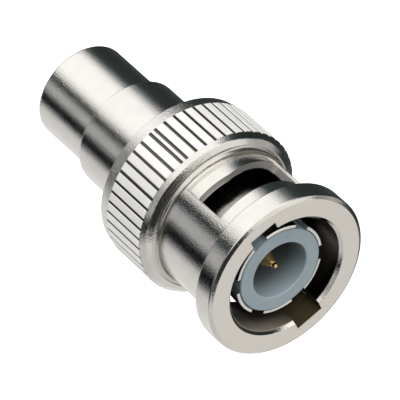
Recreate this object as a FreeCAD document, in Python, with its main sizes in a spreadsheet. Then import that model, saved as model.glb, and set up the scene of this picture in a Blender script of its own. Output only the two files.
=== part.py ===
import FreeCAD, Part
import math
import os

import Sketcher

# Coaxial adapter: a bayonet plug at the top and a phono socket at the bottom.
# The Z axis runs up the middle, from the phono rim at zero to the face of the coupling sleeve.
# The X axis points at the middle of one of the two bayonet windows.

document = FreeCAD.newDocument("coaxial_adapter")
sizes = document.addObject("Spreadsheet::Sheet", "Sizes")

# Driving sizes in millimetres and degrees, with what each one measures
DRIVING_SIZES = [
    ("total_length", 27.8, "phono rim to sleeve face"),
    ("barrel_diameter", 8.3, "outside of the phono socket"),
    ("barrel_length", 6.55, "phono rim to the step"),
    ("barrel_bore", 6.6, "inside of the phono socket's shell"),
    ("barrel_bore_depth", 9.5, "phono rim to the inner web"),
    ("rim_chamfer", 0.22, "outer edge of the phono rim"),
    ("step_diameter", 9.5, "thicker part of the body behind the sleeve"),
    ("step_chamfer", 0.15, "rear edge of the step"),
    ("web_thickness", 0.8, "wall between the two insulators"),
    ("web_bore", 4.6, "hole through that wall"),
    ("collar_overlap", 0.7, "collar outside the mouth's bore, where it stops the sleeve"),
    ("collar_thickness", 0.7, "along the axis"),
    ("mouth_depth", 11.3, "sleeve face to the gasket, where the mating rim stops"),
    ("gasket_thickness", 0.8, "along the axis"),
    ("gasket_chamfer", 0.15, "outer edges of the gasket"),
    ("knurl_wall", 1.42, "ridges to the rear bore"),
    ("knurl_count", 50, "grooves round the sleeve"),
    ("knurl_angle", 4.3, "first groove, from the X axis"),
    ("groove_width", 0.42, "at the top of a groove"),
    ("groove_floor", 0.2, "at the bottom of a groove"),
    ("groove_depth", 0.2, "below the ridges"),
    ("rear_band_length", 1.25, "plain band behind the knurl"),
    ("rear_band_taper", 0.2, "fall in radius over that band"),
    ("rear_chamfer", 0.14, "rear outer edge of the sleeve"),
    ("shoulder_chamfer", 0.35, "edge in front of the knurl"),
    ("neck_wall", 0.9, "neck to the mouth's bore"),
    ("neck_length", 6.8, "knurled part to flange"),
    ("neck_cove", 0.6, "dished corner where the neck leaves the knurled part"),
    ("flange_diameter", 14.4, "front flange"),
    ("flange_thickness", 2.05, "along the axis"),
    ("flange_rear_chamfer", 0.18, "rear outer edge of the flange"),
    ("flange_chamfer_width", 0.33, "front outer edge, across the face"),
    ("flange_chamfer_depth", 0.2, "front outer edge, along the axis"),
    ("mouth_diameter", 10.2, "bore that takes the mating shell"),
    ("mouth_chamfer", 0.27, "lead-in of the mouth"),
    ("lip_length", 0.4, "sleeve behind the snap ring groove"),
    ("ring_groove_depth", 0.42, "below the rear bore"),
    ("recess_depth", 0.2, "relieved sides of the neck, below its surface"),
    ("recess_half_angle", 40.4, "from the middle of a window to the end of the relief"),
    ("recess_gap", 0.22, "plain neck between the relief and the cove"),
    ("entry_reach", 3.7, "middle of a window to its entry end, across the axis"),
    ("latched_reach", 3.8, "middle of a window to its latched end"),
    ("window_rear", 6.7, "sleeve face to the rear edge, at the entry"),
    ("window_front", 4.0, "sleeve face to the front edge, at the entry"),
    ("ramp_start", 0.9, "middle to where the ramp begins, on the entry side"),
    ("ramp_fall", 0.95, "how far the ramp draws back over its length"),
    ("ramp_front_fall", 0.85, "how far the front edge draws back"),
    ("window_round", 0.4, "corners at the latched end"),
    ("notch_angle", 26.2, "middle of a window to the entry notch"),
    ("notch_width", 2.4, "clear width for a bayonet stud"),
    ("notch_rise", 0.8, "deep part of the notch, beyond the mouth's bore"),
    ("notch_depth", 1.8, "deep part of the notch, along the axis"),
    ("track_rise", 0.55, "track from notch to window, beyond the mouth's bore"),
    ("contact_diameter", 8.0, "outside of the slotted contact's root"),
    ("contact_wall", 0.25, "wall of the slotted contact"),
    ("contact_setback", 0.93, "sleeve face to the finger tips"),
    ("bead_rise", 0.05, "finger tips beyond the contact's root"),
    ("bead_length", 1.1, "along the axis"),
    ("bead_taper", 0.5, "from bead to root diameter"),
    ("tip_chamfer", 0.1, "outer edge of the finger tips"),
    ("slot_count", 6, "slots between the fingers"),
    ("slot_width", 1.3, "across a slot"),
    ("slot_length", 4.0, "from the tips"),
    ("slot_angle", 31.5, "first slot, from the X axis"),
    ("insulator_setback", 0.85, "sleeve face to the plug insulator"),
    ("insulator_bore", 4.95, "well round the centre pin"),
    ("well_depth", 5.6, "depth of that well"),
    ("well_chamfer", 0.12, "edge of the well"),
    ("insulator_edge", 0.1, "outer edge of the plug insulator"),
    ("pin_diameter", 1.36, "centre pin"),
    ("tail_diameter", 1.7, "pin below the floor of the well"),
    ("pin_setback", 1.4, "sleeve face to the pin's tip"),
    ("point_length", 1.0, "taper of the pin"),
    ("point_diameter", 0.42, "blunt end of the taper"),
    ("stem_wall", 0.3, "front stem of the phono contact, round the pin's tail"),
    ("stem_length", 2.6, "above the phono contact's shoulder"),
    ("stem_bore_depth", 1.8, "socket for the tail of the pin"),
    ("socket_diameter", 4.0, "outside of the phono contact"),
    ("socket_bore", 3.2, "takes the phono plug's pin"),
    ("socket_bore_depth", 7.3, "from the contact's open end"),
    ("socket_chamfer", 0.15, "lead-in of the phono contact"),
    ("leaf_slot_count", 4, "slots between the leaves"),
    ("leaf_slot_width", 0.35, "across a slot"),
    ("leaf_slot_length", 5.0, "from the open end"),
    ("phono_setback", 0.3, "phono rim to the phono insulator"),
    ("phono_lip_bore", 3.6, "hole in the insulator's outer lip"),
    ("phono_lip_length", 0.5, "lip that keeps the contact in"),
    ("phono_lip_chamfer", 0.2, "lead-in of that hole"),
    ("washer_thickness", 0.3, "flat thrust washer"),
    ("ring_thickness", 0.5, "snap ring, along the axis"),
    ("ring_gap", 0.3, "snap ring to the step, radial"),
    ("ring_opening", 26, "degrees left open between its ends"),
    ("spring_height", 0.65, "wave spring at rest"),
    ("spring_thickness", 0.15, "strip of the wave spring"),
    ("spring_waves", 3, "crests round the wave spring"),
    ("running_clearance", 0.08, "radial, where parts turn on each other"),
    ("bore_clearance", 0.1, "radial, round the washer and the spring"),
    ("seat_clearance", 0.05, "between fixed parts that fit together"),
    ("stop_clearance", 0.1, "sleeve shoulder to collar at rest"),
]
for row, (alias, number, meaning) in enumerate(DRIVING_SIZES, start=1):
    sizes.set(f"A{row}", alias)
    sizes.set(f"B{row}", str(number))
    sizes.set(f"C{row}", meaning)
    sizes.setAlias(f"B{row}", alias)
document.recompute()


def named(expression):
    """Write each size's name in an expression as a reference to the sheet."""
    words = expression.replace("(", " ( ").replace(")", " ) ").replace("min (", "min(").split()
    aliases = {alias for alias, number, meaning in DRIVING_SIZES}
    return " ".join(f"Sizes.{word}" if word in aliases else word for word in words)


def value(expression):
    """The number that an expression of sizes comes to."""
    return float(sizes.evalExpression(named(expression)))


# Heights and radii that several parts share, as expressions of the driving sizes
MOUTH_RADIUS = "( mouth_diameter / 2 )"
COLLAR_RADIUS = f"( {MOUTH_RADIUS} + collar_overlap )"
REAR_BORE_RADIUS = f"( {COLLAR_RADIUS} + running_clearance )"
KNURL_RADIUS = f"( {REAR_BORE_RADIUS} + knurl_wall )"
NECK_RADIUS = f"( {MOUTH_RADIUS} + neck_wall )"
RECESS_RADIUS = f"( {NECK_RADIUS} - recess_depth )"
CONTACT_BORE_RADIUS = "( contact_diameter / 2 - contact_wall )"
BEAD_RADIUS = "( contact_diameter / 2 + bead_rise )"
TAIL_ROOM = "( tail_diameter / 2 + seat_clearance )"
STEM_RADIUS = f"( {TAIL_ROOM} + stem_wall )"
FLANGE_REAR = "( total_length - flange_thickness )"
SHOULDER_FACE = f"( {FLANGE_REAR} - neck_length )"
KNURL_FRONT = f"( {SHOULDER_FACE} - shoulder_chamfer )"
COLLAR_FRONT = "( total_length - mouth_depth - gasket_thickness )"
COLLAR_REAR = f"( {COLLAR_FRONT} - collar_thickness )"
SPRING_FRONT = f"( {COLLAR_REAR} - seat_clearance )"
SPRING_REAR = f"( {SPRING_FRONT} - spring_height )"
WASHER_FRONT = f"( {SPRING_REAR} - seat_clearance )"
WASHER_REAR = f"( {WASHER_FRONT} - washer_thickness )"
RING_FRONT = f"( {WASHER_REAR} - seat_clearance )"
RING_REAR = f"( {RING_FRONT} - ring_thickness )"
RING_GROOVE_REAR = f"( {RING_REAR} - seat_clearance )"
SLEEVE_REAR = f"( {RING_GROOVE_REAR} - lip_length )"
KNURL_REAR = f"( {SLEEVE_REAR} + rear_band_length )"
COVE = f"min( neck_cove ; 0.9 * ( {KNURL_RADIUS} - shoulder_chamfer - {NECK_RADIUS} ) )"
# The point halfway round the cove, where its two cones meet
COVE_MIDDLE = f"0.29 * {COVE}"
WEB_FRONT = "( barrel_bore_depth + web_thickness )"
CONTACT_TIP = "( total_length - contact_setback )"
CONTACT_ROOT = f"( {WEB_FRONT} + seat_clearance )"
INSULATOR_FRONT = "( total_length - insulator_setback )"
WELL_FLOOR = f"( {INSULATOR_FRONT} - well_depth )"
PIN_TIP = "( total_length - pin_setback )"
SOCKET_MOUTH = "( phono_setback + phono_lip_length + seat_clearance )"
SOCKET_SHOULDER = "( barrel_bore_depth - 2 * seat_clearance )"
STEM_TOP = f"( {SOCKET_SHOULDER} + stem_length )"


def new_body(label):
    body = document.addObject("PartDesign::Body", label)
    body.Label = label
    return body


def sketch_on(body, role, name, height=None):
    """A sketch on one of the body's own origin planes, raised by an expression if one is given."""
    plane = next(item for item in body.Origin.OriginFeatures if item.Role == role)
    sketch = body.newObject("Sketcher::SketchObject", name)
    sketch.AttachmentSupport = [(plane, "")]
    sketch.MapMode = "FlatFace"
    if height is not None:
        sketch.setExpression("AttachmentOffset.Base.z", named(height))
    document.recompute()
    return sketch


def hold(sketch, kind, point, expression, flipped=False):
    """Hold one coordinate of a point at an expression, measured from the sketch's origin."""
    edge, end = point
    axis_line = {"DistanceX": -2, "DistanceY": -1}[kind]
    number = value(expression)
    if abs(number) < 1e-9:
        sketch.addConstraint(Sketcher.Constraint("PointOnObject", edge, end, axis_line))
        return
    if number > 0:
        constraint = Sketcher.Constraint(kind, -1, 1, edge, end, number)
        driving = named(expression)
    else:
        constraint = Sketcher.Constraint(kind, edge, end, -1, 1, -number)
        driving = f"-( {named(expression)} )"
    index = sketch.addConstraint(constraint)
    sketch.setExpression(f"Constraints[{index}]", driving)


def outline(sketch, corners):
    """A closed outline of straight edges through corners, each a pair of expressions."""
    points = [FreeCAD.Vector(value(x), value(y), 0) for x, y in corners]
    start = sketch.GeometryCount
    count = len(points)
    edges = [Part.LineSegment(points[i], points[(i + 1) % count]) for i in range(count)]
    sketch.addGeometry(edges, False)
    for i, (x, y) in enumerate(corners):
        following = start + (i + 1) % count
        sketch.addConstraint(Sketcher.Constraint("Coincident", start + i, 2, following, 1))
        hold(sketch, "DistanceX", (start + i, 1), x)
        hold(sketch, "DistanceY", (start + i, 1), y)
    document.recompute()


def turned(body, name, corners, sweep=None):
    """A turned solid: the outline's X is the radius and its Y is the height."""
    sketch = sketch_on(body, "XZ_Plane", f"{name}_section")
    outline(sketch, corners)
    feature = body.newObject("PartDesign::Revolution", f"{name}_turning")
    feature.Profile = sketch
    feature.ReferenceAxis = (sketch, ["V_Axis"])
    feature.Angle = 360
    if sweep is not None:
        feature.setExpression("Angle", named(sweep))
    document.recompute()
    return feature


def pocket(body, name, sketch, depth, reverse):
    """A cut from a sketch, checked to take material away."""
    before = body.Shape.Volume
    feature = body.newObject("PartDesign::Pocket", name)
    feature.Profile = sketch
    feature.setExpression("Length", named(depth))
    feature.Reversed = reverse
    document.recompute()
    if not feature.Shape.Volume < before - 1e-6:
        raise RuntimeError(f"{name} cuts nothing")
    return feature


def around(body, name, feature, copies):
    """Equal copies of a feature about the Z axis."""
    pattern = body.newObject("PartDesign::PolarPattern", name)
    pattern.Originals = [feature]
    pattern.Axis = (next(i for i in body.Origin.OriginFeatures if i.Role == "Z_Axis"), [""])
    pattern.Angle = 360
    pattern.setExpression("Occurrences", named(copies))
    body.Tip = pattern
    document.recompute()
    return pattern


def adapter_body():
    """One turned piece: phono barrel, step, and the collar that carries the sleeve."""
    body = new_body("adapter_body")
    bore = "( contact_diameter / 2 + seat_clearance )"
    turned(body, "adapter_body", [
        ("barrel_bore / 2", "0"),
        ("barrel_diameter / 2 - rim_chamfer", "0"),
        ("barrel_diameter / 2", "rim_chamfer"),
        ("barrel_diameter / 2", "barrel_length"),
        ("step_diameter / 2 - step_chamfer", "barrel_length"),
        ("step_diameter / 2", "barrel_length + step_chamfer"),
        ("step_diameter / 2", COLLAR_REAR),
        (COLLAR_RADIUS, COLLAR_REAR),
        (COLLAR_RADIUS, COLLAR_FRONT),
        (bore, COLLAR_FRONT),
        (bore, WEB_FRONT),
        ("web_bore / 2", WEB_FRONT),
        ("web_bore / 2", "barrel_bore_depth"),
        ("barrel_bore / 2", "barrel_bore_depth"),
    ])
    return body


def coupling_sleeve():
    """The sleeve that turns: straight knurl, relieved neck with two windows, notched flange."""
    body = new_body("coupling_sleeve")
    groove_radius = f"( {REAR_BORE_RADIUS} + ring_groove_depth )"
    groove_front = f"( {RING_FRONT} + seat_clearance )"
    stop = f"( {COLLAR_FRONT} + stop_clearance )"
    turned(body, "coupling_sleeve", [
        (REAR_BORE_RADIUS, SLEEVE_REAR),
        (f"{KNURL_RADIUS} - rear_band_taper - rear_chamfer", SLEEVE_REAR),
        (f"{KNURL_RADIUS} - rear_band_taper", f"{SLEEVE_REAR} + rear_chamfer"),
        (KNURL_RADIUS, KNURL_REAR),
        (KNURL_RADIUS, KNURL_FRONT),
        (f"{KNURL_RADIUS} - shoulder_chamfer", SHOULDER_FACE),
        (f"{NECK_RADIUS} + {COVE}", SHOULDER_FACE),
        (f"{NECK_RADIUS} + {COVE_MIDDLE}", f"{SHOULDER_FACE} + {COVE_MIDDLE}"),
        (NECK_RADIUS, f"{SHOULDER_FACE} + {COVE}"),
        (NECK_RADIUS, FLANGE_REAR),
        ("flange_diameter / 2 - flange_rear_chamfer", FLANGE_REAR),
        ("flange_diameter / 2", f"{FLANGE_REAR} + flange_rear_chamfer"),
        ("flange_diameter / 2", "total_length - flange_chamfer_depth"),
        ("flange_diameter / 2 - flange_chamfer_width", "total_length"),
        (f"{MOUTH_RADIUS} + mouth_chamfer", "total_length"),
        (MOUTH_RADIUS, "total_length - mouth_chamfer"),
        (MOUTH_RADIUS, stop),
        (REAR_BORE_RADIUS, stop),
        (REAR_BORE_RADIUS, groove_front),
        (groove_radius, groove_front),
        (groove_radius, RING_GROOVE_REAR),
        (REAR_BORE_RADIUS, RING_GROOVE_REAR),
    ])
    cut_windows(body)
    relieve_neck(body)
    cut_notches(body)
    cut_knurl(body)
    return body


def relieve_neck(body):
    """Two shallow reliefs along the neck, one behind each window."""
    sketch = sketch_on(body, "XY_Plane", "relief_section", f"{FLANGE_REAR}")
    inner = value(RECESS_RADIUS)
    outer = value(f"{NECK_RADIUS} + recess_depth")
    half = math.radians(value("recess_half_angle"))
    centre = FreeCAD.Vector(0, 0, 0)
    normal = FreeCAD.Vector(0, 0, 1)

    def corner(radius, angle):
        return FreeCAD.Vector(radius * math.cos(angle), radius * math.sin(angle), 0)

    sketch.addGeometry([
        Part.ArcOfCircle(Part.Circle(centre, normal, inner), -half, half),
        Part.LineSegment(corner(inner, half), corner(outer, half)),
        Part.ArcOfCircle(Part.Circle(centre, normal, outer), -half, half),
        Part.LineSegment(corner(outer, -half), corner(inner, -half)),
    ], False)
    constraints = [
        Sketcher.Constraint("Coincident", 0, 3, -1, 1),
        Sketcher.Constraint("Coincident", 2, 3, -1, 1),
        Sketcher.Constraint("Coincident", 0, 2, 1, 1),
        Sketcher.Constraint("Coincident", 1, 2, 2, 2),
        Sketcher.Constraint("Coincident", 2, 1, 3, 1),
        Sketcher.Constraint("Coincident", 3, 2, 0, 1),
        Sketcher.Constraint("Symmetric", 0, 1, 0, 2, -1),
        Sketcher.Constraint("PointOnObject", -1, 1, 1),
        Sketcher.Constraint("PointOnObject", -1, 1, 3),
    ]
    sketch.addConstraint(constraints)
    for kind, edge, expression in (
        ("Radius", 0, RECESS_RADIUS),
        ("Radius", 2, f"{NECK_RADIUS} + recess_depth"),
        ("Angle", 1, "recess_half_angle"),
    ):
        size = half if kind == "Angle" else value(expression)
        index = sketch.addConstraint(Sketcher.Constraint(kind, edge, size))
        unit = " * 1 deg" if kind == "Angle" else ""
        sketch.setExpression(f"Constraints[{index}]", named(expression) + unit)
    document.recompute()
    length = f"neck_length - {COVE} - recess_gap"
    relief = pocket(body, "relief", sketch, length, False)
    around(body, "reliefs", relief, "2")


def cut_windows(body):
    """The two bayonet windows: a level entry, then a ramp down to the rounded latched end."""
    rear = "( total_length - window_rear )"
    front = "( total_length - window_front )"
    sketch = sketch_on(body, "YZ_Plane", "window_outline")
    outline(sketch, [
        ("entry_reach", rear),
        ("entry_reach", front),
        ("ramp_start", f"{front} - ramp_front_fall / 4"),
        ("0 - latched_reach", f"{front} - ramp_front_fall"),
        ("0 - latched_reach", f"{rear} - ramp_fall"),
        ("ramp_start", rear),
    ])
    window = pocket(body, "window", sketch, f"{NECK_RADIUS} + 1", True)
    windows = around(body, "windows", window, "2")
    latched = []
    heights = (value(f"{rear} - ramp_fall"), value(f"{front} - ramp_front_fall"))
    side = value("latched_reach")
    for index, edge in enumerate(windows.Shape.Edges, start=1):
        middle = edge.CenterOfMass
        across = abs(abs(middle.y) - side) < 1e-4 and middle.x * middle.y < 0
        if across and min(abs(middle.z - height) for height in heights) < 1e-4:
            latched.append(f"Edge{index}")
    fillet = body.newObject("PartDesign::Fillet", "latched_corners")
    fillet.Base = (windows, latched)
    fillet.setExpression("Radius", named("window_round"))
    document.recompute()


def cut_notches(body):
    """Entry notches in the face, and the shallower tracks from them to the windows."""
    for name, rise, depth in (
        ("notch", "notch_rise", "notch_depth"),
        ("track", "track_rise", "window_front + ramp_front_fall / 4"),
    ):
        sketch = sketch_on(body, "XY_Plane", f"{name}_outline", "total_length")
        sketch.setExpression("AttachmentOffset.Rotation.Angle", named("notch_angle * 1 deg"))
        outline(sketch, [
            (f"{MOUTH_RADIUS} - 1", "0 - notch_width / 2"),
            (f"{MOUTH_RADIUS} + {rise}", "0 - notch_width / 2"),
            (f"{MOUTH_RADIUS} + {rise}", "notch_width / 2"),
            (f"{MOUTH_RADIUS} - 1", "notch_width / 2"),
        ])
        around(body, f"{name}_pair", pocket(body, name, sketch, depth, False), "2")


def cut_knurl(body):
    """Straight grooves with flat ridges between them, square at both ends."""
    sketch = sketch_on(body, "XY_Plane", "groove_outline", KNURL_FRONT)
    sketch.setExpression("AttachmentOffset.Rotation.Angle", named("knurl_angle * 1 deg"))
    top = f"{KNURL_RADIUS} + groove_depth"
    spread = "( groove_width - groove_floor / 2 )"
    outline(sketch, [
        (f"{KNURL_RADIUS} - groove_depth", "0 - groove_floor / 2"),
        (top, f"0 - {spread}"),
        (top, spread),
        (f"{KNURL_RADIUS} - groove_depth", "groove_floor / 2"),
    ])
    groove = pocket(body, "groove", sketch, f"{KNURL_FRONT} - {KNURL_REAR}", False)
    around(body, "knurl", groove, "knurl_count")


def outer_contact():
    """The slotted tube whose fingers press into the mating shell."""
    body = new_body("outer_contact")
    turned(body, "outer_contact", [
        (CONTACT_BORE_RADIUS, CONTACT_ROOT),
        ("contact_diameter / 2", CONTACT_ROOT),
        ("contact_diameter / 2", f"{CONTACT_TIP} - bead_length - bead_taper"),
        (BEAD_RADIUS, f"{CONTACT_TIP} - bead_length"),
        (BEAD_RADIUS, f"{CONTACT_TIP} - tip_chamfer"),
        (f"{BEAD_RADIUS} - tip_chamfer", CONTACT_TIP),
        (CONTACT_BORE_RADIUS, CONTACT_TIP),
    ])
    cut_slots(body, "slot", CONTACT_TIP, False, f"{CONTACT_BORE_RADIUS} - 1", f"{BEAD_RADIUS} + 1")
    return body


def cut_slots(body, name, height, reverse, inner, outer):
    """Radial slots from one end of a tube, equally spaced; name begins the sizes' names."""
    sketch = sketch_on(body, "XY_Plane", f"{name}_outline", height)
    if name == "slot":
        sketch.setExpression("AttachmentOffset.Rotation.Angle", named("slot_angle * 1 deg"))
    outline(sketch, [
        (inner, f"0 - {name}_width / 2"),
        (outer, f"0 - {name}_width / 2"),
        (outer, f"{name}_width / 2"),
        (inner, f"{name}_width / 2"),
    ])
    slot = pocket(body, name, sketch, f"{name}_length", reverse)
    around(body, f"{name}s", slot, f"{name}_count")


def face_gasket():
    """The soft ring that the mating shell's rim presses on."""
    body = new_body("face_gasket")
    inner = "( contact_diameter / 2 + seat_clearance )"
    outer = f"( {MOUTH_RADIUS} - bore_clearance )"
    rear = f"( {COLLAR_FRONT} + seat_clearance )"
    front = "( total_length - mouth_depth )"
    turned(body, "face_gasket", [
        (inner, rear),
        (f"{outer} - gasket_chamfer", rear),
        (outer, f"{rear} + gasket_chamfer"),
        (outer, f"{front} - gasket_chamfer"),
        (f"{outer} - gasket_chamfer", front),
        (inner, front),
    ])
    return body


def thrust_washer():
    """The flat washer between the snap ring and the wave spring."""
    body = new_body("thrust_washer")
    sketch = sketch_on(body, "XY_Plane", "washer_outline", WASHER_REAR)
    centre = FreeCAD.Vector(0, 0, 0)
    for index, radius in enumerate((
        "step_diameter / 2 + bore_clearance",
        f"{REAR_BORE_RADIUS} - bore_clearance",
    )):
        circle = Part.Circle(centre, FreeCAD.Vector(0, 0, 1), value(radius))
        sketch.addGeometry(circle, False)
        sketch.addConstraint(Sketcher.Constraint("Coincident", index, 3, -1, 1))
        place = sketch.addConstraint(Sketcher.Constraint("Radius", index, value(radius)))
        sketch.setExpression(f"Constraints[{place}]", named(radius))
    document.recompute()
    pad = body.newObject("PartDesign::Pad", "washer")
    pad.Profile = sketch
    pad.setExpression("Length", named("washer_thickness"))
    document.recompute()
    return body


def snap_ring():
    """The open ring in the sleeve's groove, which keeps the washer and the spring in."""
    body = new_body("snap_ring")
    outer = f"( {REAR_BORE_RADIUS} + ring_groove_depth - seat_clearance )"
    inner = "( step_diameter / 2 + ring_gap )"
    corners = [(inner, RING_REAR), (outer, RING_REAR), (outer, RING_FRONT), (inner, RING_FRONT)]
    turned(body, "snap_ring", corners, "( 360 - ring_opening ) * 1 deg")
    return body


def wave_spring():
    """The waved washer that draws the sleeve back, between the thrust washer and the collar."""
    thickness = value("spring_thickness")
    rear = value(SPRING_REAR)
    waves = int(value("spring_waves"))
    rise = value("spring_height") - thickness
    points_per_wave = 4
    count = waves * points_per_wave

    def waved_edge(radius, start):
        points = []
        for step in range(count):
            angle = 2 * math.pi * step / count
            height = start + rise * (1 - math.cos(waves * angle)) / 2
            points.append(FreeCAD.Vector(radius * math.cos(angle), radius * math.sin(angle), height))
        curve = Part.BSplineCurve()
        curve.interpolate(Points=points, PeriodicFlag=True)
        return curve.toShape()

    inner = value("step_diameter / 2 + bore_clearance")
    outer = value(f"{REAR_BORE_RADIUS} - bore_clearance")
    front = rear + thickness
    corners = [(inner, rear), (outer, rear), (outer, front), (inner, front)]
    edges = [waved_edge(radius, start) for radius, start in corners]
    sides = [Part.makeRuledSurface(edges[i], edges[(i + 1) % 4]) for i in range(4)]
    shell = Part.makeCompound(sides)
    shell.sewShape()
    solid = Part.makeSolid(shell.Shells[0])
    if solid.Volume < 0:
        solid.reverse()
    spring = document.addObject("Part::Feature", "wave_spring")
    spring.Label = "wave_spring"
    spring.Shape = solid
    return spring


def plug_insulator():
    """The plastic core of the plug, with the well round the centre pin."""
    body = new_body("plug_insulator")
    outside = f"( {CONTACT_BORE_RADIUS} - seat_clearance )"
    stem_room = f"( {STEM_RADIUS} + seat_clearance )"
    stem_ceiling = f"( {STEM_TOP} + seat_clearance )"
    turned(body, "plug_insulator", [
        (stem_room, CONTACT_ROOT),
        (outside, CONTACT_ROOT),
        (outside, f"{INSULATOR_FRONT} - insulator_edge"),
        (f"{outside} - insulator_edge", INSULATOR_FRONT),
        ("insulator_bore / 2 + well_chamfer", INSULATOR_FRONT),
        ("insulator_bore / 2", f"{INSULATOR_FRONT} - well_chamfer"),
        ("insulator_bore / 2", WELL_FLOOR),
        (TAIL_ROOM, WELL_FLOOR),
        (TAIL_ROOM, stem_ceiling),
        (stem_room, stem_ceiling),
    ])
    return body


def centre_pin():
    """The plug's pin, with a blunt taper at its tip and its tail in the phono contact."""
    body = new_body("centre_pin")
    tail = f"( {STEM_TOP} - stem_bore_depth + seat_clearance )"
    turned(body, "centre_pin", [
        ("0", tail),
        ("tail_diameter / 2", tail),
        ("tail_diameter / 2", WELL_FLOOR),
        ("pin_diameter / 2", WELL_FLOOR),
        ("pin_diameter / 2", f"{PIN_TIP} - point_length"),
        ("point_diameter / 2", PIN_TIP),
        ("0", PIN_TIP),
    ])
    return body


def phono_insulator():
    """The plastic sleeve in the phono barrel, with a lip that keeps the contact in."""
    body = new_body("phono_insulator")
    outside = "( barrel_bore / 2 - seat_clearance )"
    room = "( socket_diameter / 2 + seat_clearance )"
    lip_end = "( phono_setback + phono_lip_length )"
    far_end = "( barrel_bore_depth - seat_clearance )"
    turned(body, "phono_insulator", [
        ("phono_lip_bore / 2 + phono_lip_chamfer", "phono_setback"),
        (outside, "phono_setback"),
        (outside, far_end),
        (room, far_end),
        (room, lip_end),
        ("phono_lip_bore / 2", lip_end),
        ("phono_lip_bore / 2", "phono_setback + phono_lip_chamfer"),
    ])
    return body


def phono_contact():
    """The slotted centre contact of the phono socket, with a stem that takes the pin's tail."""
    body = new_body("phono_contact")
    bore_end = f"( {SOCKET_MOUTH} + socket_bore_depth )"
    turned(body, "phono_contact", [
        ("socket_bore / 2 + socket_chamfer", SOCKET_MOUTH),
        ("socket_diameter / 2", SOCKET_MOUTH),
        ("socket_diameter / 2", SOCKET_SHOULDER),
        (STEM_RADIUS, SOCKET_SHOULDER),
        (STEM_RADIUS, STEM_TOP),
        (TAIL_ROOM, STEM_TOP),
        (TAIL_ROOM, f"{STEM_TOP} - stem_bore_depth"),
        ("0", f"{STEM_TOP} - stem_bore_depth"),
        ("0", bore_end),
        ("socket_bore / 2", bore_end),
        ("socket_bore / 2", f"{SOCKET_MOUTH} + socket_chamfer"),
    ])
    cut_slots(body, "leaf_slot", SOCKET_MOUTH, True, "socket_bore / 2 - 1", "socket_diameter / 2 + 1")
    return body


def write_parts(parts):
    """Check every object and shape, then write one file for each part."""
    document.recompute()
    for item in document.Objects:
        if "Invalid" in item.State or "Error" in item.State:
            raise RuntimeError(f"{item.Name} did not build: {item.State}")
    for part in parts:
        if part.Shape.isNull() or not part.Shape.isValid():
            raise RuntimeError(f"{part.Label} has no valid shape")
    os.makedirs("parts", exist_ok=True)
    for part in parts:
        part.Shape.exportStep(f"parts/{part.Label}.step")
        print(f"{part.Label}: {len(part.Shape.Solids)} solid, {part.Shape.Volume:.2f} mm3")


write_parts([
    adapter_body(),
    coupling_sleeve(),
    outer_contact(),
    face_gasket(),
    wave_spring(),
    thrust_washer(),
    snap_ring(),
    plug_insulator(),
    centre_pin(),
    phono_insulator(),
    phono_contact(),
])
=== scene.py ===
import math

import bmesh
import bpy
from mathutils import Matrix, Vector


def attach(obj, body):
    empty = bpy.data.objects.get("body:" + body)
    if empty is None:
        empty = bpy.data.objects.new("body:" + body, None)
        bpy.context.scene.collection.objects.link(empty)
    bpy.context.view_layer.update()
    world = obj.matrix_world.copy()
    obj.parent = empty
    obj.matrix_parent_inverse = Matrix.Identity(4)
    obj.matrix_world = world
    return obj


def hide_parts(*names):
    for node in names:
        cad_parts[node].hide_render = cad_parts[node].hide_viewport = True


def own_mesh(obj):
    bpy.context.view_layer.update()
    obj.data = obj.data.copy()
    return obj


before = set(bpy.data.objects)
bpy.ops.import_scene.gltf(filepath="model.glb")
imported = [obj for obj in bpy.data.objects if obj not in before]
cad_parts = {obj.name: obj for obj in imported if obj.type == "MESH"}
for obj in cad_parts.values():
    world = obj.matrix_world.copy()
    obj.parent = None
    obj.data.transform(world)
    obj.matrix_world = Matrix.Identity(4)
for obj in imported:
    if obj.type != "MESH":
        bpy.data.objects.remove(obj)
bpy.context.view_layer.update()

MM = 0.001
TOP = 27.8

# Radii
BARREL = 4.15
BARREL_BORE = 3.3
STEP = 4.75
COLLAR = 5.8
MOUTH = 5.1
REAR_BORE = 5.88
KNURL = 7.3
FLANGE = 7.2
NECK = 6.0
RELIEF = 5.8
CONTACT = 4.0
CONTACT_BORE = 3.75
BEAD = 4.05
WELL = 2.475
PIN = 0.68
TAIL = 0.85
STEM = 1.2
SOCKET = 2.0
SOCKET_BORE = 1.6
FIT = 0.05

# Heights above the phono rim
STEP_REAR = 6.55
WEB_REAR = 9.5
WEB_FRONT = 10.3
SLEEVE_REAR = 12.95
RING_REAR = 13.4
RING_FRONT = 13.9
WASHER_FRONT = 14.25
SPRING_REAR = 14.3
SPRING_FRONT = 14.95
COLLAR_REAR = 15.0
COLLAR_FRONT = 15.7
KNURL_REAR = 14.2
KNURL_FRONT = 18.56
KNURL_CHAMFER = 18.5
SHOULDER = 18.95
FLANGE_REAR = 25.75
CONTACT_TIP = 26.87
CORE_FRONT = 26.95
WELL_FLOOR = 21.35
PIN_TIP = 26.4
STEM_TOP = 12.0

KNURL_COUNT = 50
SEGMENTS = 400


def new_object(name, mesh):
    made = bpy.data.objects.new(name, mesh)
    bpy.context.scene.collection.objects.link(made)
    return made


def plain_mesh(source, name):
    """A new object with the source's finished mesh; the source and its modifiers go."""
    graph = bpy.context.evaluated_depsgraph_get()
    mesh = bpy.data.meshes.new_from_object(source.evaluated_get(graph), depsgraph=graph)
    mesh.name = name
    finish = [material for material in mesh.materials if material]
    mesh.materials.clear()
    if finish:
        mesh.materials.append(finish[-1])
    mesh.polygons.foreach_set("material_index", [0] * len(mesh.polygons))
    bpy.data.objects.remove(source)
    return new_object(name, mesh)


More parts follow.
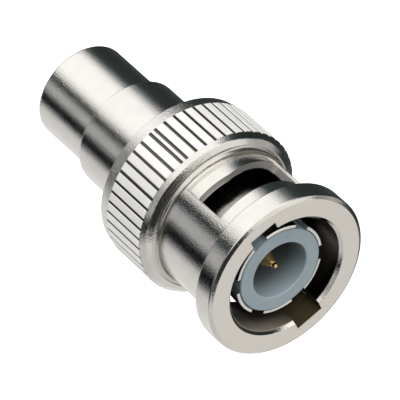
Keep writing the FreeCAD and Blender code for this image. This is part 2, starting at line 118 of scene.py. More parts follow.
def rounded(corners, steps=5):
    """Points of a closed outline; each corner is (x, y) or (x, y, radius of its rounding)."""
    points = []
    count = len(corners)
    for i, corner in enumerate(corners):
        here = Vector(corner[:2])
        radius = corner[2] if len(corner) > 2 else 0.0
        if radius == 0.0:
            points.append(here)
            continue
        back = (Vector(corners[i - 1][:2]) - here).normalized()
        ahead = (Vector(corners[(i + 1) % count][:2]) - here).normalized()
        half = back.angle(ahead) / 2
        centre = here + (back + ahead).normalized() * (radius / math.sin(half))
        first = here + back * (radius / math.tan(half)) - centre
        last = here + ahead * (radius / math.tan(half)) - centre
        turn = first.angle_signed(last)
        for step in range(steps + 1):
            points.append(centre + Matrix.Rotation(-turn * step / steps, 2) @ first)
    return points


# Node trees

def node(tree, kind, inputs=None, **settings):
    """A node whose inputs are sockets to link or plain values."""
    made = tree.nodes.new(kind)
    for key, item in settings.items():
        setattr(made, key, item)
    for key, item in (inputs or {}).items():
        if isinstance(item, bpy.types.NodeSocket):
            tree.links.new(item, made.inputs[key])
        else:
            made.inputs[key].default_value = item
    return made


def maths(tree, operation, first, second=0.0):
    return node(tree, "ShaderNodeMath", {0: first, 1: second}, operation=operation).outputs[0]


def geometry_tree(name, inputs):
    """An empty geometry tree with named inputs after its geometry."""
    tree = bpy.data.node_groups.new(name, "GeometryNodeTree")
    face = tree.interface
    face.new_socket("Geometry", in_out="INPUT", socket_type="NodeSocketGeometry")
    for label, kind in inputs:
        face.new_socket(label, in_out="INPUT", socket_type=f"NodeSocket{kind}")
    face.new_socket("Geometry", in_out="OUTPUT", socket_type="NodeSocketGeometry")
    return tree, tree.nodes.new("NodeGroupInput").outputs


def finish_tree(tree, geometry, material):
    """Every tree ends with real geometry in its material."""
    real = node(tree, "GeometryNodeRealizeInstances", {0: geometry}).outputs[0]
    dressed = node(tree, "GeometryNodeSetMaterial", {"Geometry": real, "Material": material})
    node(tree, "NodeGroupOutput", {0: dressed.outputs[0]})
    return tree


def turning_tree():
    """Turns a closed section in the XZ plane, with X as the radius, once round the Z axis."""
    tree, given = geometry_tree("turning", [("Segments", "Int"), ("Material", "Material")])
    section = given["Geometry"]
    points = node(tree, "GeometryNodeAttributeDomainSize", {0: section}).outputs[0]
    rows = maths(tree, "ADD", points, 1)
    columns = maths(tree, "ADD", given["Segments"], 1)
    sheet = node(tree, "GeometryNodeMeshGrid", {"Vertices X": columns, "Vertices Y": rows})
    index = tree.nodes.new("GeometryNodeInputIndex").outputs[0]
    row = maths(tree, "MODULO", index, rows)
    column = maths(tree, "FLOOR", maths(tree, "DIVIDE", index, rows))
    angle = maths(tree, "DIVIDE", maths(tree, "MULTIPLY", column, 2 * math.pi), given["Segments"])
    place = tree.nodes.new("GeometryNodeInputPosition").outputs[0]
    sample = node(tree, "GeometryNodeSampleIndex", {"Geometry": section}, data_type="FLOAT_VECTOR")
    tree.links.new(place, sample.inputs["Value"])
    tree.links.new(maths(tree, "MODULO", row, points), sample.inputs["Index"])
    spin = node(tree, "ShaderNodeVectorRotate", {"Vector": sample.outputs[0], "Angle": angle},
                rotation_type="Z_AXIS")
    swept = node(tree, "GeometryNodeSetPosition", {
        "Geometry": sheet.outputs["Mesh"], "Position": spin.outputs[0]})
    closed = node(tree, "GeometryNodeMergeByDistance", {
        "Geometry": swept.outputs[0], "Distance": 1e-7})
    return finish_tree(tree, closed.outputs[0], given["Material"])


def cutting_tree():
    """Takes equal copies of a cutter, spaced round the Z axis, out of a piece."""
    tree, given = geometry_tree("cuts_round_the_axis", [
        ("Cutter", "Object"), ("Count", "Int"), ("Start angle", "Float"), ("Pitch", "Float"),
        ("Uneven width", "Float"), ("Material", "Material")])
    cutter = node(tree, "GeometryNodeObjectInfo", {"Object": given["Cutter"]}).outputs["Geometry"]
    line = node(tree, "GeometryNodeMeshLine", {"Count": given["Count"], "Offset": (0, 0, 0)})
    index = tree.nodes.new("GeometryNodeInputIndex").outputs[0]
    turned_by = maths(tree, "MULTIPLY", index, given["Pitch"])
    angle = maths(tree, "ADD", turned_by, given["Start angle"])
    turn = node(tree, "ShaderNodeCombineXYZ", {"Z": angle}).outputs[0]
    uneven = given["Uneven width"]
    width = node(tree, "FunctionNodeRandomValue", {"Seed": 7}, data_type="FLOAT")
    for socket in width.inputs:
        if socket.name in ("Min", "Max") and socket.type == "VALUE":
            side = "SUBTRACT" if socket.name == "Min" else "ADD"
            tree.links.new(maths(tree, side, 1, uneven), socket)
    value = next(s for s in width.outputs if s.type == "VALUE" and s.enabled)
    size = node(tree, "ShaderNodeCombineXYZ", {"X": 1, "Y": value, "Z": 1}).outputs[0]
    copies = node(tree, "GeometryNodeInstanceOnPoints", {
        "Points": line.outputs["Mesh"], "Instance": cutter, "Rotation": turn, "Scale": size})
    tools = node(tree, "GeometryNodeRealizeInstances", {0: copies.outputs[0]}).outputs[0]
    cut = node(tree, "GeometryNodeMeshBoolean", {"Mesh 1": given["Geometry"], "Mesh 2": tools},
               operation="DIFFERENCE", solver="EXACT")
    return finish_tree(tree, cut.outputs["Mesh"], given["Material"])


def run_tree(target, tree, values):
    """Adds a tree to an object as a modifier, with its inputs set by their identifiers."""
    modifier = target.modifiers.new(tree.name, "NODES")
    modifier.node_group = tree
    for item in tree.interface.items_tree:
        if item.in_out == "INPUT" and item.name in values:
            modifier[item.identifier] = values[item.name]


TURNING = turning_tree()
CUTTING = cutting_tree()


def turned(name, corners, material, segments=SEGMENTS):
    """A turned piece from the corners of its section, each (radius, height, rounding)."""
    points = rounded(corners)
    mesh = bpy.data.meshes.new(name)
    count = len(points)
    mesh.from_pydata([(x * MM, 0, y * MM) for x, y in points],
                     [(i, (i + 1) % count) for i in range(count)], [])
    section = new_object(f"{name}_section", mesh)
    run_tree(section, TURNING, {"Segments": segments, "Material": material})
    piece = plain_mesh(section, name)
    outward(piece)
    return piece


def outward(piece):
    work = bmesh.new()
    work.from_mesh(piece.data)
    bmesh.ops.recalc_face_normals(work, faces=work.faces)
    work.to_mesh(piece.data)
    work.free()


def prism(name, points, low, high, place):
    """A closed prism: points are its outline, and place(a, b, depth) gives each corner."""
    work = bmesh.new()
    ends = []
    for depth in (low, high):
        ring = [work.verts.new(Vector(place(a, b, depth)) * MM) for a, b in points]
        ends.append(ring)
        work.faces.new(ring)
    count = len(points)
    for i in range(count):
        j = (i + 1) % count
        work.faces.new((ends[0][i], ends[0][j], ends[1][j], ends[1][i]))
    bmesh.ops.recalc_face_normals(work, faces=work.faces)
    mesh = bpy.data.meshes.new(name)
    work.to_mesh(mesh)
    work.free()
    return new_object(name, mesh)


def cut_round(piece, cutter, count, start=0.0, uneven=0.0, pitch=None):
    """Cuts with copies of the cutter round the axis; start and pitch are in degrees."""
    name = piece.name
    material = piece.data.materials[0]
    run_tree(piece, CUTTING, {
        "Cutter": cutter, "Count": count, "Start angle": math.radians(start),
        "Pitch": math.radians(pitch or 360 / count), "Uneven width": uneven,
        "Material": material})
    made = plain_mesh(piece, f"{name}_cut")
    bpy.data.objects.remove(cutter)
    made.name = name
    return made


def across(radius_in, radius_out, half_width, low, high, name="cutter"):
    """A radial box along X, for slots and notches."""
    outline = [(radius_in, -half_width), (radius_out, -half_width),
               (radius_out, half_width), (radius_in, half_width)]
    return prism(name, outline, low, high, lambda a, b, depth: (a, b, depth))


def soften(piece, width, zones, sharp=32):
    """Bevels the hard edges inside the zones, each a test of an edge's middle in millimetres."""
    mesh = piece.data
    work = bmesh.new()
    work.from_mesh(mesh)
    bmesh.ops.remove_doubles(work, verts=work.verts, dist=1e-6)
    bmesh.ops.dissolve_degenerate(work, edges=work.edges, dist=1e-6)
    limit = math.radians(sharp)
    hard = []
    for edge in work.edges:
        if len(edge.link_faces) == 2 and edge.calc_face_angle(0) > limit:
            middle = (edge.verts[0].co + edge.verts[1].co) / (2 * MM)
            if any(zone(math.hypot(middle.x, middle.y), middle.z) for zone in zones):
                hard.append(edge)
    if hard:
        bmesh.ops.bevel(work, geom=hard, offset=width * MM, offset_type="OFFSET", segments=2,
                        profile=0.5, affect="EDGES", clamp_overlap=False)
    work.to_mesh(mesh)
    work.free()


def smooth(piece, sharp=32):
    """Smooth shading that leaves flats flat and hard edges hard.

    The normals are weighed in millimetres, because the modifier takes very small faces as equal.
    """
    name = piece.name
    piece.data.transform(Matrix.Scale(1 / MM, 4))
    piece.data.shade_smooth()
    piece.data.set_sharp_from_angle(angle=math.radians(sharp))
    weigh = piece.modifiers.new("weigh", "WEIGHTED_NORMAL")
    weigh.keep_sharp = True
    weigh.weight = 90
    made = plain_mesh(piece, f"{name}_smooth")
    made.data.transform(Matrix.Scale(MM, 4))
    made.name = name
    made.data.name = name
    return made


# Materials

def metal(name, colour, tint, roughness, grain=0.25, wear=0.5, zones=(), painted_light_patch=None):
    """Plated metal: clouded colour and gloss, fine grain, and worn, pitted edges.

    Each zone is (inner radius, outer radius, low, high, colour, metallic, roughness, grain), for a
    part of the piece with another finish or with painted shade. A painted light patch is (azimuth in
    degrees, outer radius, low, high, colour, metallic), for a lighter patch of painted light on one
    side of a bore that grows from its low end up.
    """
    material = bpy.data.materials.new(name)
    material.use_nodes = True
    tree = material.node_tree
    shader = tree.nodes["Principled BSDF"]
    shader.inputs["Specular IOR Level"].default_value = 0.1
    place = tree.nodes.new("ShaderNodeTexCoord").outputs["Object"]

    def noise(scale, detail=2.0, rough=0.5):
        made = node(tree, "ShaderNodeTexNoise", {
            "Vector": place, "Scale": scale, "Detail": detail, "Roughness": rough})
        return made.outputs["Fac"]

    def ranged(value, low, high, to_low, to_high):
        made = node(tree, "ShaderNodeMapRange", {
            "Value": value, "From Min": low, "From Max": high, "To Min": to_low, "To Max": to_high})
        return made.outputs[0]

    def mixed(factor, first, second, kind="RGBA"):
        sockets = (6, 7) if kind == "RGBA" else (2, 3)
        made = node(tree, "ShaderNodeMix", {"Factor": factor, sockets[0]: first, sockets[1]: second},
                    data_type=kind)
        return made.outputs[2 if kind == "RGBA" else 0]

    cloud = noise(700.0, 3.0)
    fine = noise(9500.0, 1.0)
    coarse = noise(3200.0, 3.0, 0.6)
    edge_normal = node(tree, "ShaderNodeBevel", {"Radius": 0.00007}, samples=6).outputs[0]
    true_normal = tree.nodes.new("ShaderNodeNewGeometry").outputs["Normal"]
    facing = node(tree, "ShaderNodeVectorMath", {0: edge_normal, 1: true_normal},
                  operation="DOT_PRODUCT").outputs["Value"]
    edge = ranged(facing, 0.99, 0.86, 0.0, 1.0)
    worn = maths(tree, "MULTIPLY", edge, ranged(coarse, 0.42, 0.6, 0.0, wear))
    shade = mixed(ranged(cloud, 0.35, 0.65, 0.0, 1.0), (*colour, 1), (*tint, 1))
    gloss = ranged(noise(1500.0, 3.0), 0.3, 0.7, roughness * 0.75, roughness * 1.3)
    gloss = maths(tree, "ADD", gloss, maths(tree, "MULTIPLY", worn, 0.06))
    pits = grain
    if zones:
        flat = node(tree, "ShaderNodeVectorMath", {0: place, 1: (1, 1, 0)}, operation="MULTIPLY")
        radius = node(tree, "ShaderNodeVectorMath", {0: flat.outputs[0]}, operation="LENGTH")
        radius = radius.outputs["Value"]
        height = node(tree, "ShaderNodeSeparateXYZ", {0: place}).outputs["Z"]
        metallic = 1.0
        for inner, outer, low, high, paint, shine, rough, rugged in zones:
            mask = ranged(radius, (inner - 0.02) * MM, (inner + 0.02) * MM, 0.0, 1.0)
            for value, limit, sign in ((radius, outer, 1), (height, low, -1), (height, high, 1)):
                side = ranged(value, (limit + 0.02 * sign) * MM, (limit - 0.02 * sign) * MM, 0.0, 1.0)
                mask = maths(tree, "MULTIPLY", mask, side)
            shade = mixed(mask, shade, (*paint, 1))
            gloss = mixed(mask, gloss, rough, "FLOAT")
            metallic = mixed(mask, metallic, shine, "FLOAT")
            pits = mixed(mask, pits, rugged, "FLOAT")
        # Painted light: a lighter patch on one side of the bore, growing from its low end up.
        if painted_light_patch:
            azimuth, outer, low, high, paint, shine = painted_light_patch
            azimuth = math.radians(azimuth)
            towards = node(tree, "ShaderNodeVectorMath", {
                0: place, 1: (math.cos(azimuth), math.sin(azimuth), 0)}, operation="DOT_PRODUCT")
            mask = ranged(towards.outputs["Value"], outer * 0.5 * MM, outer * 0.92 * MM, 0.0, 1.0)
            rise = ranged(height, low * MM, high * MM, 0.0, 1.0)
            mask = maths(tree, "MULTIPLY", mask, rise)
            inside = ranged(radius, (outer + 0.02) * MM, (outer - 0.02) * MM, 0.0, 1.0)
            mask = maths(tree, "MULTIPLY", mask, inside)
            shade = mixed(mask, shade, (*paint, 1))
            metallic = mixed(mask, metallic, shine, "FLOAT")
        tree.links.new(metallic, shader.inputs["Metallic"])
    else:
        shader.inputs["Metallic"].default_value = 1.0
    tree.links.new(shade, shader.inputs["Base Color"])
    tree.links.new(gloss, shader.inputs["Roughness"])
    level = maths(tree, "SUBTRACT", coarse, 0.5)
    relief = maths(tree, "ADD", maths(tree, "MULTIPLY", fine, 0.9),
                   maths(tree, "MULTIPLY", level, ranged(edge, 0.0, 1.0, 0.1, 2.0)))
    bump = node(tree, "ShaderNodeBump", {"Height": relief, "Strength": pits, "Distance": 0.000018})
    tree.links.new(bump.outputs[0], shader.inputs["Normal"])
    return material


def moulded(name, colour, tint, roughness, grain=0.2, specular=0.5, well=None):
    """Moulded plastic or rubber: faintly clouded, satin, with a fine grain.

    A well is (radius, floor, rim, colour), for a bore painted darker from its rim to its floor, as
    painted shade.
    """
    material = bpy.data.materials.new(name)
    material.use_nodes = True
    tree = material.node_tree
    shader = tree.nodes["Principled BSDF"]
    shader.inputs["Specular IOR Level"].default_value = specular
    place = tree.nodes.new("ShaderNodeTexCoord").outputs["Object"]
    cloud = node(tree, "ShaderNodeTexNoise", {"Vector": place, "Scale": 900.0, "Detail": 3.0})
    fine = node(tree, "ShaderNodeTexNoise", {"Vector": place, "Scale": 8000.0, "Detail": 2.0})
    mix = node(tree, "ShaderNodeMix", {
        "Factor": cloud.outputs["Fac"], 6: (*colour, 1), 7: (*tint, 1)}, data_type="RGBA")
    shade = mix.outputs[2]
    if well:
        radius, floor, rim, painted_well_shade = well
        flat = node(tree, "ShaderNodeVectorMath", {0: place, 1: (1, 1, 0)}, operation="MULTIPLY")
        length = node(tree, "ShaderNodeVectorMath", {0: flat.outputs[0]}, operation="LENGTH")
        inside = node(tree, "ShaderNodeMapRange", {
            "Value": length.outputs["Value"], "From Min": (radius + 0.12) * MM,
            "From Max": (radius + 0.02) * MM})
        height = node(tree, "ShaderNodeSeparateXYZ", {0: place}).outputs["Z"]
        depth = node(tree, "ShaderNodeMapRange", {
            "Value": height, "From Min": rim * MM, "From Max": floor * MM})
        amount = maths(tree, "MULTIPLY", inside.outputs[0], depth.outputs[0])
        shade = node(tree, "ShaderNodeMix", {
            "Factor": amount, 6: shade, 7: (*painted_well_shade, 1)}, data_type="RGBA").outputs[2]
    tree.links.new(shade, shader.inputs["Base Color"])
    gloss = node(tree, "ShaderNodeMapRange", {
        "Value": cloud.outputs["Fac"], "From Min": 0.3, "From Max": 0.7,
        "To Min": roughness * 0.85, "To Max": roughness * 1.15})
    tree.links.new(gloss.outputs[0], shader.inputs["Roughness"])
    bump = node(tree, "ShaderNodeBump", {
        "Height": fine.outputs["Fac"], "Strength": grain, "Distance": 0.00001})
    tree.links.new(bump.outputs[0], shader.inputs["Normal"])
    return material


# The rim the barrel stands on is painted dark grey, as painted shade where it meets the floor.
NICKEL = metal("bright_nickel", (0.80, 0.785, 0.755), (0.77, 0.75, 0.715), 0.04, 0.85,
               zones=[(3.9, 5.0, -1.0, 0.13, (0.22, 0.22, 0.21), 1.0, 0.2, 0.7)])
SLEEVE_ZONES = [
    (KNURL - 0.06, 8.0, KNURL_REAR, KNURL_CHAMFER, (0.84, 0.83, 0.81), 0.45, 0.42, 0.5),
    # Painted shade: the floors of the knurl grooves are painted dark.
    (KNURL - 0.25, KNURL - 0.06, KNURL_REAR, KNURL_CHAMFER, (0.19, 0.18, 0.165), 1.0, 0.5, 0.5),
    # Painted shade: the cove in front of the knurl shoulder is painted darker; its finish is also
    # rougher and more pitted.
    (5.99, 6.48, SHOULDER - 0.1, 19.4, (0.66, 0.64, 0.60), 0.95, 0.14, 0.8),
    # Painted shade: the back face of the flange, where it meets the neck, is painted dark.
    (6.03, 7.25, 25.6, 25.85, (0.2, 0.19, 0.17), 1.0, 0.3, 0.9),
    (5.3, 6.95, 27.72, 28.0, (0.80, 0.765, 0.71), 1.0, 0.12, 0.9),
    (6.9, 8.0, 12.9, KNURL_REAR, (0.80, 0.785, 0.755), 1.0, 0.2, 1.6),
    (5.2, RELIEF - 0.03, 19.0, 25.0, (0.56, 0.55, 0.52), 0.75, 0.42, 0.6),
    # Dark brown and dull: the faces of the notches and the track.
    (5.16, 5.77, 24.0, 25.92, (0.048, 0.037, 0.018), 0.1, 0.8, 0.6),
    (5.16, 6.06, 25.9, 27.5, (0.048, 0.037, 0.018), 0.1, 0.8, 0.6),
    (5.42, 6.06, 27.46, 27.76, (0.048, 0.037, 0.018), 0.1, 0.8, 0.6),
    # Painted shade: the bore of the sleeve is painted nearly black.
    (-1.0, 5.16, 12.0, 27.55, (0.03, 0.026, 0.02), 1.0, 0.25, 0.5)]
# The last argument is a painted light patch on one side of the sleeve's bore, at azimuth 150 degrees.
SLEEVE_NICKEL = metal("sleeve_plating", (0.80, 0.785, 0.755), (0.76, 0.74, 0.70), 0.06, 0.7, 0.8,
                      SLEEVE_ZONES, (150, 5.16, 24.6, 27.5, (0.30, 0.27, 0.22), 0.4))
CONTACT_NICKEL = metal("contact_plating", (0.82, 0.81, 0.79), (0.76, 0.745, 0.72), 0.16)
SPRING_STEEL = metal("dull_steel", (0.50, 0.49, 0.48), (0.42, 0.41, 0.40), 0.28)
GOLD = metal("gold_plate", (0.90, 0.62, 0.24), (0.82, 0.54, 0.18), 0.16)
# The insulator's well is painted darker towards its floor, as painted shade.
GREY_PLASTIC = moulded("blue_grey_plastic", (0.33, 0.40, 0.44), (0.30, 0.37, 0.41), 0.42,
                       well=(WELL, 24.6, 27.0, (0.12, 0.14, 0.145)))
WHITE_PLASTIC = moulded("off_white_plastic", (0.80, 0.80, 0.77), (0.76, 0.76, 0.73), 0.45)
RUBBER = moulded("black_rubber", (0.035, 0.035, 0.036), (0.05, 0.05, 0.05), 0.6, 0.35, 0.3)


# Pieces

def build_body():
    piece = turned("nickel_body", [
        (BARREL_BORE, 0, 0.06), (BARREL, 0, 0.2), (BARREL, STEP_REAR, 0.03),
        (STEP, STEP_REAR, 0.15), (STEP, COLLAR_REAR, 0.05), (COLLAR, COLLAR_REAR, 0.06),
        (COLLAR, COLLAR_FRONT, 0.06), (CONTACT + FIT, COLLAR_FRONT, 0.04),
        (CONTACT + FIT, WEB_FRONT), (2.3, WEB_FRONT), (2.3, WEB_REAR), (BARREL_BORE, WEB_REAR)],
        NICKEL)
    return smooth(piece)


def build_sleeve():
    """Turned blank, then reliefs, windows, notches and tracks, and last the knurl."""
    piece = turned("turning_sleeve", [
        (REAR_BORE, SLEEVE_REAR, 0.06), (6.94, SLEEVE_REAR, 0.03), (7.1, 13.11, 0.04),
        (KNURL, KNURL_REAR, 0.3), (KNURL, KNURL_CHAMFER, 0.03), (6.92, 18.88, 0.6),
        (6.47, SHOULDER + 0.165), (6.43, SHOULDER + 0.06),
        (NECK, SHOULDER + 0.06, 0.4), (NECK, FLANGE_REAR, 0.1), (7.02, FLANGE_REAR, 0.08),
        (FLANGE, 25.93, 0.14), (FLANGE, 27.6, 0.14), (6.87, TOP, 0.14),
        (MOUTH + 0.27, TOP, 0.05), (MOUTH, 27.53, 0.05), (MOUTH, 15.8, 0.05),
        (REAR_BORE, 15.8, 0.05), (REAR_BORE, 13.95), (6.3, 13.95), (6.3, 13.35),
        (REAR_BORE, 13.35)], SLEEVE_NICKEL)
    arc = [math.radians(40.4 - 90.4 * step / 48) for step in range(49)]
    slab = [(RELIEF * math.cos(a), RELIEF * math.sin(a)) for a in arc]
    slab += [(6.5 * math.cos(a), 6.5 * math.sin(a)) for a in reversed(arc)]
    relief = prism("relief", slab, 19.77, FLANGE_REAR + 0.002, lambda a, b, d: (a, b, d))
    piece = cut_round(piece, relief, 2)
    rear, front = TOP - 6.8, TOP - 3.9
    outline = rounded([
        (3.7, rear, 0.1), (3.7, front, 0.1), (0.9, front - 0.25, 1.5), (-3.8, front - 0.95, 0.4),
        (-3.8, rear - 0.85, 0.4), (0.9, rear, 1.5)], 6)
    window = prism("window", outline, 2.0, 7.0,
                   lambda a, b, d: (d, a * (1 + 0.16 * (d - 3.4)) if a < 0 else a, b))
    piece = cut_round(piece, window, 2)
    piece = cut_round(piece, across(4.1, MOUTH + 0.8, 1.2, 26.0, 28.2), 2, 26.2)
    piece = cut_round(piece, across(4.1, MOUTH + 0.55, 1.2, 23.78, 28.2), 2, 26.2)
    soften(piece, 0.035, [
        lambda r, z: r < 6.1 and 19.5 < z < 25.6,
        lambda r, z: r < 6.0 and z > 25.9])
    groove = prism("groove", [
        (KNURL - 0.2, -0.06), (KNURL - 0.04, -0.12), (KNURL + 0.05, -0.22),
        (KNURL + 0.05, 0.22), (KNURL - 0.04, 0.12), (KNURL - 0.2, 0.06)],
        KNURL_REAR, KNURL_FRONT, lambda a, b, d: (a, b, d))
    piece = cut_round(piece, groove, KNURL_COUNT, 30.0, 0.1, 7.263)
    return smooth(piece)


def build_contact():
    piece = turned("slotted_contact", [
        (CONTACT_BORE, 10.35), (CONTACT, 10.35), (CONTACT, CONTACT_TIP - 1.6, 0.4),
        (BEAD, CONTACT_TIP - 1.1, 0.4), (BEAD, CONTACT_TIP, 0.1),
        (CONTACT_BORE, CONTACT_TIP, 0.04)], CONTACT_NICKEL, 360)
    piece = cut_round(piece, across(2.8, 5.1, 0.65, CONTACT_TIP - 4.0, 28), 6, 31.5)
    soften(piece, 0.03, [lambda r, z: z > CONTACT_TIP - 4.2])
    return smooth(piece)


def build_core():
    outside = CONTACT_BORE - FIT
    piece = turned("plug_core", [
        (STEM + FIT, 10.35), (outside, 10.35), (outside, CORE_FRONT, 0.12),
        (WELL, CORE_FRONT, 0.14), (WELL, WELL_FLOOR, 0.1), (TAIL + FIT, WELL_FLOOR, 0.03),
        (TAIL + FIT, STEM_TOP + FIT), (STEM + FIT, STEM_TOP + FIT)], GREY_PLASTIC)
    return smooth(piece)


def build_pin():
    piece = turned("centre_contact_pin", [
        (0, 10.25), (TAIL, 10.25, 0.05), (TAIL, WELL_FLOOR, 0.05), (PIN, WELL_FLOOR, 0.02),
        (PIN, PIN_TIP - 1.1, 0.15), (0.24, PIN_TIP - 0.34, 0.04), (0.19, PIN_TIP - 0.32, 0.03),
        (0.19, PIN_TIP, 0.08), (0, PIN_TIP)], GOLD, 96)
    return smooth(piece, 40)


def build_gasket():
    piece = turned("rim_gasket", [
        (CONTACT + FIT, 15.75, 0.1), (MOUTH - 0.1, 15.75, 0.15), (MOUTH - 0.1, 16.5, 0.15),
        (CONTACT + FIT, 16.5, 0.1)], RUBBER, 192)
    return smooth(piece)


def build_washer():
    piece = turned("flat_washer", [
        (STEP + 0.1, 13.95, 0.04), (REAR_BORE - 0.1, 13.95, 0.04),
        (REAR_BORE - 0.1, WASHER_FRONT, 0.04), (STEP + 0.1, WASHER_FRONT, 0.04)],
        SPRING_STEEL, 192)
    return smooth(piece)


def build_ring():
    """The open snap ring, with its gap on the far side of X from its first end."""
    outer, inner = 6.25, 5.05
    piece = turned("open_snap_ring", [
        (inner, RING_REAR, 0.06), (outer, RING_REAR, 0.06), (outer, RING_FRONT, 0.06),
        (inner, RING_FRONT, 0.06)], SPRING_STEEL, 240)
    wedge = math.radians(26)
    corners = [(2.0, 0.0), (7.5, 0.0), (7.5 * math.cos(wedge), -7.5 * math.sin(wedge)),
               (2.0 * math.cos(wedge), -2.0 * math.sin(wedge))]
    gap = prism("gap", corners, 13, 14, lambda a, b, d: (a, b, d))
    piece = cut_round(piece, gap, 1)
    return smooth(piece)


def build_spring():
    """A ribbon round the axis whose height follows a wave."""
    waves, columns = 3, 240
    inner, outer, thick = STEP + 0.1, REAR_BORE - 0.1, 0.15
    rise = SPRING_FRONT - SPRING_REAR - thick
    section = rounded([(inner, 0, 0.03), (outer, 0, 0.03), (outer, thick, 0.03),
                       (inner, thick, 0.03)], 2)
    work = bmesh.new()
    rings = []
    for column in range(columns):
        angle = 2 * math.pi * column / columns
        lift = SPRING_REAR + rise * (1 - math.cos(waves * angle)) / 2
        rings.append([work.verts.new(Vector((r * math.cos(angle), r * math.sin(angle), z + lift)) * MM)
                      for r, z in section])
    count = len(section)
    for column in range(columns):
        here, there = rings[column], rings[(column + 1) % columns]
        for i in range(count):
            j = (i + 1) % count
            work.faces.new((here[i], here[j], there[j], there[i]))
    bmesh.ops.recalc_face_normals(work, faces=work.faces)
    mesh = bpy.data.meshes.new("waved_spring")
    work.to_mesh(mesh)
    work.free()
    mesh.materials.append(SPRING_STEEL)
    return smooth(new_object("waved_spring", mesh))


def build_phono_core():
    outside = BARREL_BORE - FIT
    room = SOCKET + FIT
    piece = turned("phono_core", [
        (1.8, 0.3, 0.2), (outside, 0.3, 0.1), (outside, WEB_REAR - FIT), (room, WEB_REAR - FIT),
        (room, 0.8), (1.8, 0.8, 0.05)], WHITE_PLASTIC, 240)
    return smooth(piece)


def build_phono_contact():
    piece = turned("phono_spring_contact", [
        (SOCKET_BORE, 0.85, 0.12), (SOCKET, 0.85, 0.05), (SOCKET, WEB_REAR - 0.1, 0.05),
        (STEM, WEB_REAR - 0.1), (STEM, STEM_TOP, 0.05), (TAIL + FIT, STEM_TOP, 0.05),
        (TAIL + FIT, 10.2), (0, 10.2), (0, 8.15), (SOCKET_BORE, 8.15)], GOLD, 160)
    piece = cut_round(piece, across(0.6, 3.0, 0.175, 0.2, 5.85), 4)
    return smooth(piece)


sleeve = build_sleeve()
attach(sleeve, "sleeve")
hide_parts("coupling_sleeve")

body = build_body()
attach(body, "shell")
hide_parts("adapter_body")

contact = build_contact()
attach(contact, "shell")
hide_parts("outer_contact")

core = build_core()
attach(core, "shell")
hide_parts("plug_insulator")

pin = build_pin()
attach(pin, "shell")
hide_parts("centre_pin")

gasket = build_gasket()
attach(gasket, "shell")
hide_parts("face_gasket")

washer = build_washer()
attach(washer, "washer")
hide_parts("thrust_washer")

ring = build_ring()
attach(ring, "sleeve")
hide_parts("snap_ring")

spring = build_spring()
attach(spring, "shell")
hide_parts("wave_spring")
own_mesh(spring)

phono_core = build_phono_core()
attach(phono_core, "shell")
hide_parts("phono_insulator")

phono_contact = build_phono_contact()
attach(phono_contact, "shell")
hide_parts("phono_contact")


# Floor, light and camera

def pale_floor():
    size = 3.0
    mesh = bpy.data.meshes.new("floor")
    low = -0.00002
    corners = [(-size, -size, low), (size, -size, low), (size, size, low), (-size, size, low)]
    mesh.from_pydata(corners, [], [(0, 1, 2, 3)])
    floor = new_object("floor", mesh)
    material = bpy.data.materials.new("floor_white")
    material.use_nodes = True
    shader = material.node_tree.nodes["Principled BSDF"]
    shader.inputs["Base Color"].default_value = (0.9, 0.9, 0.9, 1)
    shader.inputs["Roughness"].default_value = 0.9
    shader.inputs["Specular IOR Level"].default_value = 0.0
    shader.inputs["Emission Color"].default_value = (1, 1, 1, 1)
    shader.inputs["Emission Strength"].default_value = 0.75
    mesh.materials.append(material)
    floor.visible_glossy = False


# Brightness round the horizon, as (azimuth in degrees, brightness): what lies below the level of
# the part, what lies above it, and what lies high over it
LOW_BANDS = [
    (-180, 0.78), (-162, 0.85), (-150, 0.5), (-140, 0.24), (-128, 0.07), (-80, 0.035),
    (-52, 0.045), (-42, 0.10), (-34, 0.42), (-24, 1.05), (-12, 1.2), (28, 1.22), (38, 1.1),
    (48, 0.7), (54, 0.14), (59, 0.02), (66, 0.1), (74, 0.42), (89, 0.46), (97, 0.12), (104, 0.01),
    (114, 0.01), (121, 0.06), (128, 0.4), (134, 0.68), (165, 0.76)]
HIGH_BANDS = [
    (-180, 0.70), (-150, 0.72), (-138, 0.7), (-130, 0.4), (-118, 0.04), (-60, 0.03), (-46, 0.06),
    (-40, 0.3), (-32, 0.9), (-25, 1.2), (30, 1.2), (45, 1.0), (55, 0.65), (70, 0.42), (100, 0.48),
    (106, 0.2), (112, 0.02), (120, 0.02), (128, 0.25), (135, 0.6), (165, 0.6)]
TOP_BANDS = [
    (-180, 0.8), (-100, 0.85), (-60, 0.95), (-35, 1.2), (30, 1.2), (45, 1.0), (55, 0.65), (70, 0.42),
    (100, 0.48), (106, 0.2), (112, 0.02), (124, 0.02), (133, 0.5), (165, 0.8)]


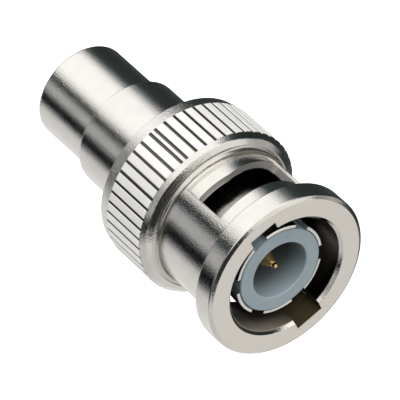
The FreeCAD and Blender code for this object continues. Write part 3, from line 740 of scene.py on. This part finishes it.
def studio_light():
    world = bpy.data.worlds.new("studio")
    bpy.context.scene.world = world
    world.use_nodes = True
    tree = world.node_tree
    tree.nodes.clear()
    way = tree.nodes.new("ShaderNodeTexCoord").outputs["Generated"]
    parts = node(tree, "ShaderNodeSeparateXYZ", {0: way}).outputs
    azimuth = maths(tree, "ARCTAN2", parts["Y"], parts["X"])
    turn = maths(tree, "ADD", maths(tree, "DIVIDE", azimuth, 2 * math.pi), 0.5)

    def bands(stops):
        ramp = node(tree, "ShaderNodeValToRGB", {0: turn})
        ramp.color_ramp.interpolation = "EASE"
        marks = ramp.color_ramp.elements
        stops = stops + [(180, stops[0][1])]
        while len(marks) < len(stops):
            marks.new(0.5)
        for mark, (degrees, bright) in zip(marks, stops):
            mark.position = (degrees + 180) / 360
        for mark, (degrees, bright) in zip(marks, stops):
            red, blue = (0.82, 1.0) if bright < 0.12 else (1.0, 1.01) if bright < 0.5 else (1.01, 0.98)
            mark.color = (bright * red, bright, bright * blue, 1)
        return ramp.outputs[0]

    def rising(value, low, high):
        made = node(tree, "ShaderNodeMapRange", {"Value": value, "From Min": low, "From Max": high},
                    interpolation_type="SMOOTHSTEP")
        return made.outputs[0]

    def mixed(factor, first, second):
        made = node(tree, "ShaderNodeMix", {"Factor": factor, 6: first, 7: second},
                    data_type="RGBA")
        return made.outputs[2]

    def spot(azimuth, elevation, full, none):
        """One inside a circle of directions and nothing outside it; all four are in degrees."""
        azimuth, elevation = math.radians(azimuth), math.radians(elevation)
        centre = (math.cos(azimuth) * math.cos(elevation), math.sin(azimuth) * math.cos(elevation),
                  math.sin(elevation))
        near = node(tree, "ShaderNodeVectorMath", {0: way, 1: centre}, operation="DOT_PRODUCT")
        return rising(near.outputs["Value"], math.cos(math.radians(none)),
                      math.cos(math.radians(full)))

    height = parts["Z"]
    shade = mixed(rising(height, -0.2, 0.08), bands(LOW_BANDS), bands(HIGH_BANDS))
    shade = mixed(rising(height, 0.64, 0.70), shade, bands(TOP_BANDS))
    shade = mixed(rising(height, 0.82, 0.90), shade, (0.90, 0.89, 0.86, 1))
    shade = mixed(spot(-99, 32, 9, 14), shade, (0.46, 0.46, 0.45, 1))
    shade = mixed(spot(98, 73, 17, 22), shade, (0.03, 0.03, 0.03, 1))
    shade = mixed(spot(148, 77, 16, 20), shade, (0.03, 0.03, 0.03, 1))
    shade = mixed(spot(146, 58, 6, 10), shade, (0.03, 0.03, 0.03, 1))
    shade = mixed(spot(82, 25, 14, 20), shade, (0.03, 0.03, 0.03, 1))
    shade = mixed(spot(-142, -55, 9, 15.5), shade, (0.04, 0.04, 0.04, 1))
    background = node(tree, "ShaderNodeBackground", {"Color": shade, "Strength": 1.0})
    node(tree, "ShaderNodeOutputWorld", {"Surface": background.outputs[0]})

    lamp = bpy.data.lights.new("soft_lamp", "AREA")
    lamp.shape = "DISK"
    lamp.size = 0.5
    lamp.energy = 2.5
    source = new_object("soft_lamp", lamp)
    source.location = (0.6, 0.1, 0.3)
    source.rotation_euler = (-source.location).to_track_quat("-Z", "Y").to_euler()
    source.visible_glossy = False


def camera():
    data = bpy.data.cameras.new("camera")
    data.lens = 450.0
    data.sensor_width = 36.0
    data.clip_start = 0.01
    data.clip_end = 20.0
    made = new_object("camera", data)
    right = Vector((0.04989, -0.81549, 0.57662))
    up = Vector((0.78841, -0.32227, -0.52398))
    back = Vector((0.61312, 0.48075, 0.62686))
    place = Vector((237.898, 186.729, 259.822)) * MM
    made.matrix_world = Matrix((right, up, back)).transposed().to_4x4()
    made.matrix_world.translation = place
    bpy.context.scene.camera = made


pale_floor()
studio_light()
camera()
bpy.context.scene.view_settings.view_transform = "Standard"
